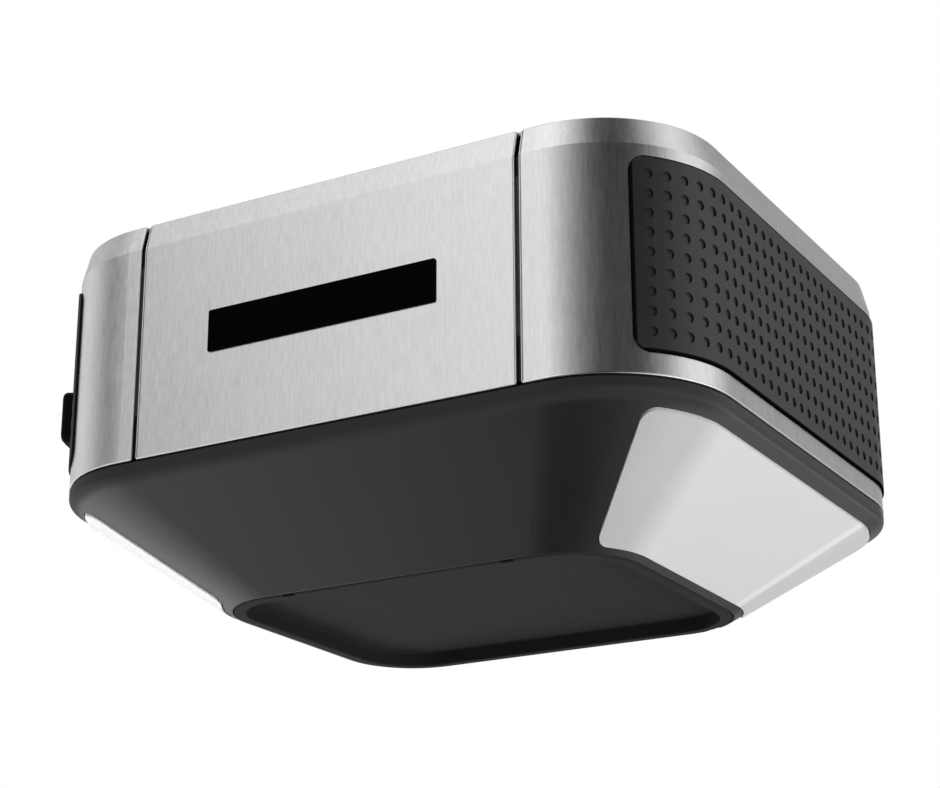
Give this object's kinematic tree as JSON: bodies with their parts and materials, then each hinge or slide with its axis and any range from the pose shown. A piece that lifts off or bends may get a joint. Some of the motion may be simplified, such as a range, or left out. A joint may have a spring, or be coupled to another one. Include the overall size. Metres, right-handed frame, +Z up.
{
  "type": "garage door opener",
  "caption": "Ceiling-hung garage door opener head with brushed shells, dimpled end panels, tapered belly with corner light covers, worm drive and belt sprocket.",
  "frame": {"origin": "middle of the hanger hole pattern, on the upper face of the top plate", "axes": "+X along the long side, -Y to the room, +Y to the door rail, +Z up to the ceiling"},
  "size_m": [0.3807, 0.3228, 0.2205],
  "materials": {
    "brushed_shell": "brushed upright, satin",
    "black_housing": "fine moulded texture",
    "dimpled_black": "fine moulded texture with dimples",
    "black_gloss": "blank plate, satin",
    "light_cover": "milky white, smooth",
    "rubber_seal": "matt",
    "galvanised": "galvanised sheet",
    "black_fitting": "moulded",
    "steel": "zinc plated",
    "gearbox_alloy": "die cast",
    "gear_nylon": "moulded nylon",
    "bronze": "sintered",
    "copper": "enamelled wire",
    "magnet_black": "ferrite",
    "circuit_board": "solder mask",
    "light_chip": "phosphor",
    "terminal_grey": "moulded",
    "learn_yellow": "moulded"
  },
  "bodies": {
    "head": {"blank_plate": "black_gloss", "board_components": "black_fitting", "board_standoffs": "black_fitting", "carbon_brushes": "magnet_black", "chassis_screws": "steel", "control_board": "circuit_board", "control_pod": "black_housing", "front_cover": "brushed_shell", "gearbox_bolts": "steel", "gearbox_case": "gearbox_alloy", "gearbox_lid": "gearbox_alloy", "housing_screws": "steel", "isolation_mounts": "rubber_seal", "left_end_cap": "brushed_shell", "left_led_board": "circuit_board", "left_led_bracket": "galvanised", "left_leds": "light_chip", "left_lens": "light_cover", "left_panel": "dimpled_black", "logic_board": "circuit_board", "lower_housing": "black_housing", "motor_bearings": "bronze", "motor_can": "galvanised", "motor_end_cap": "black_fitting", "motor_magnets": "magnet_black", "output_bushes": "bronze", "power_gland": "black_fitting", "rail_bracket": "galvanised", "rear_cover": "brushed_shell", "right_end_cap": "brushed_shell", "right_grille": "dimpled_black", "right_led_board": "circuit_board", "right_led_bracket": "galvanised", "right_leds": "light_chip", "right_lens": "light_cover", "seam_gasket": "rubber_seal", "seam_posts": "black_fitting", "speed_sensor": "black_fitting", "sprocket_cover": "black_fitting", "tact_switches": "black_fitting", "terminal_block": "terminal_grey", "top_chassis": "galvanised", "transformer_core": "steel", "transformer_winding": "copper", "weld_nuts": "steel"},
    "rotor": {"motor_shaft": "steel", "armature": "steel", "armature_windings": "copper", "commutator": "copper", "worm": "steel", "speed_disc": "black_fitting"},
    "output": {"worm_wheel": "gear_nylon", "output_shaft": "steel", "drive_sprocket": "steel", "sprocket_clip": "steel"},
    "bottom_flap": {"bottom_cover": "black_housing", "cover_hinge_pins": "steel"},
    "up_key": {"up_button": "terminal_grey"},
    "down_key": {"down_button": "terminal_grey"},
    "learn_key": {"learn_button": "learn_yellow"}
  },
  "joints": [
    {"name": "motor_spin", "type": "hinge", "parent": "head", "child": "rotor", "pos_m": [0, 0.03, -0.052], "axis": [1, 0, 0], "continuous": true},
    {"name": "output_spin", "type": "hinge", "parent": "head", "child": "output", "pos_m": [0, 0.07, -0.052], "axis": [0, 0, 1], "continuous": true},
    {"name": "cover_hinge", "type": "hinge", "parent": "head", "child": "bottom_flap", "pos_m": [0, 0.08885, -0.1865], "axis": [1, 0, 0], "range_deg": [0, 85]},
    {"name": "up_press", "type": "slide", "parent": "head", "child": "up_key", "axis": [1, 0, 0], "range_m": [0, 0.0015], "stiffness_N_per_m": 600, "springref_m": -0.001},
    {"name": "down_press", "type": "slide", "parent": "head", "child": "down_key", "axis": [1, 0, 0], "range_m": [0, 0.0015], "stiffness_N_per_m": 600, "springref_m": -0.001},
    {"name": "learn_press", "type": "slide", "parent": "head", "child": "learn_key", "axis": [1, 0, 0], "range_m": [0, 0.0015], "stiffness_N_per_m": 600, "springref_m": -0.001}
  ],
  "couplings": [
    {"joint": "output_spin", "follows": "motor_spin", "ratio": -0.033333}
  ]
}
